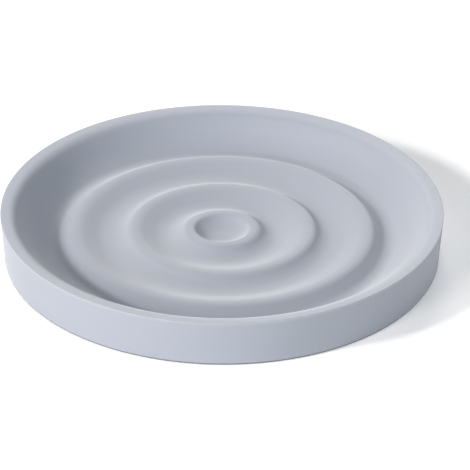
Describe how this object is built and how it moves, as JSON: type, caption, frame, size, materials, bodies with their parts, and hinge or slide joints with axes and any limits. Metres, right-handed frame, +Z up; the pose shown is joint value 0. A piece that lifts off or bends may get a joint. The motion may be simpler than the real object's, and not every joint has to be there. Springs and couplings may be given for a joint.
{
  "type": "soap dish",
  "caption": "Round, shallow silicone soap dish with concentric ripples that hold the soap up and troughs between them that keep the water.",
  "frame": {"origin": "middle of the underside, in the plane that the dish stands on", "axes": "+Z up along the axis the dish is turned about; it is round, so X and Y are any two level directions at right angles"},
  "size_m": [0.12, 0.12, 0.0132],
  "materials": {
    "silicone": "matt moulded silicone, pale blue-grey"
  },
  "bodies": {
    "root": {"dish_body": "silicone"}
  },
  "joints": []
}
